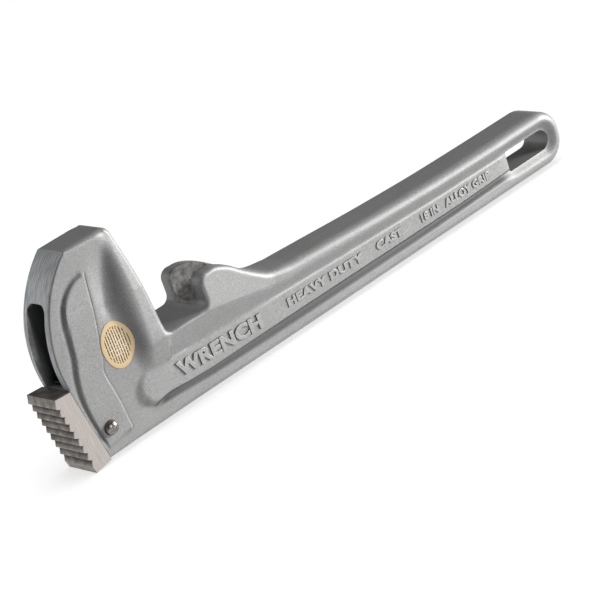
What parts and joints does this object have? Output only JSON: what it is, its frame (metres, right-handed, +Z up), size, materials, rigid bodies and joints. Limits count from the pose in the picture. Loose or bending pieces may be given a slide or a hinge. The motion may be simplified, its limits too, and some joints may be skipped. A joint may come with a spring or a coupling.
{
  "type": "pipe wrench handle assembly",
  "caption": "Straight pipe wrench handle casting with hook-jaw housing, nut window and hang slot, pinned toothed heel jaw, leaf and coil springs.",
  "frame": {"origin": "under the middle of the bounding box, at the lowest point, which is the heel jaw's lower front corner", "axes": "+X runs from the heel jaw to the hanging end along the straight underside; +Y runs across the casting, away from the labelled side; +Z is up, towards the top of the housing"},
  "size_m": [0.3864, 0.04, 0.1177],
  "materials": {
    "cast_aluminium": "satin sand-cast aluminium",
    "jaw_steel": "ground and broached alloy steel",
    "pin_steel": "domed plain steel",
    "spring_steel": "blued spring steel",
    "coil_wire": "drawn spring wire",
    "rivet_steel": "plain steel",
    "label_paper": "printed sticker"
  },
  "bodies": {
    "root": {"handle": "cast_aluminium", "heel_jaw": "jaw_steel", "heel_jaw_pin": "pin_steel", "label": "label_paper"},
    "leaf": {"flat_spring": "spring_steel", "spring_rivet": "rivet_steel"},
    "coil": {"coil_spring": "coil_wire"}
  },
  "joints": [
    {"name": "flat_spring_flex", "type": "hinge", "parent": "root", "child": "leaf", "pos_m": [-0.17832, 0, 0.0503], "axis": [0, 1, 0], "range_deg": [0, 3], "stiffness_Nm_per_rad": 1.5, "springref_deg": -1.15},
    {"name": "coil_spring_press", "type": "slide", "parent": "leaf", "child": "coil", "axis": [0, 0, -1], "range_m": [0, 0.003], "stiffness_N_per_m": 600, "springref_m": -0.0005, "deforming": ["coil_spring"]}
  ]
}
